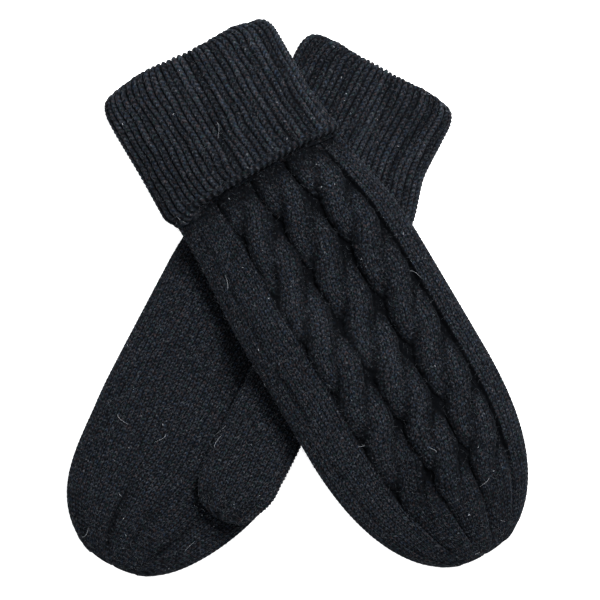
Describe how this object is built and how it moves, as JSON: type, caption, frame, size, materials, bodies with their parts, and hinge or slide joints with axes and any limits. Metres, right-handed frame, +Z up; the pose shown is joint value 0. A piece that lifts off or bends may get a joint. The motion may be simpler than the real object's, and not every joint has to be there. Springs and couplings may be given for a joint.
{
  "type": "knitted mittens",
  "caption": "Pair of dark knitted mittens with turned-up ribbed cuffs and rope cables on the back, lying crossed, one palm up and one back up.",
  "frame": {"origin": "on the table, under the middle of the pair's box", "axes": "+Z up from the table, +Y the long way of the crossed pair, from the fingertips towards the cuffs; +X to the thumb side of the palm-up mitten"},
  "size_m": [0.2164, 0.2697, 0.0423],
  "materials": {
    "stocking_stitch": "fuzzy stocking stitch knit in wool blend",
    "ribbing": "fuzzy one by one rib in wool blend",
    "seam_yarn": "drawn-up wool yarn"
  },
  "bodies": {
    "left_mitten": {"left_back_panel": "stocking_stitch", "left_palm_panel": "stocking_stitch", "left_side_seams": "seam_yarn", "left_fingertip_gather": "seam_yarn", "left_cuff_join": "seam_yarn", "left_cuff_inner_leaf": "ribbing", "left_cuff_turned_leaf": "ribbing", "left_cuff_bound_edge": "seam_yarn", "left_thumb_join": "seam_yarn"},
    "left_thumb": {"left_thumb_root": "stocking_stitch", "left_thumb_tube": "stocking_stitch", "left_thumb_tip_gather": "seam_yarn"},
    "right_mitten": {"right_back_panel": "stocking_stitch", "right_palm_panel": "stocking_stitch", "right_side_seams": "seam_yarn", "right_fingertip_gather": "seam_yarn", "right_cuff_join": "seam_yarn", "right_cuff_inner_leaf": "ribbing", "right_cuff_turned_leaf": "ribbing", "right_cuff_bound_edge": "seam_yarn", "right_thumb_join": "seam_yarn"},
    "right_thumb": {"right_thumb_root": "stocking_stitch", "right_thumb_tube": "stocking_stitch", "right_thumb_tip_gather": "seam_yarn"}
  },
  "joints": [
    {"name": "left_thumb_swing", "type": "hinge", "parent": "left_mitten", "child": "left_thumb", "pos_m": [-0.00578, -0.04649, 0.0207], "axis": [0, 0, 1], "range_deg": [0, 30]},
    {"name": "right_mitten_lift", "type": "slide", "parent": "left_mitten", "child": "right_mitten", "axis": [0, 0, 1], "range_m": [0, 0.06]},
    {"name": "right_thumb_swing", "type": "hinge", "parent": "right_mitten", "child": "right_thumb", "pos_m": [0.05472, -0.0073, 0.0055], "axis": [0, 0, 1], "range_deg": [0, 30]}
  ]
}
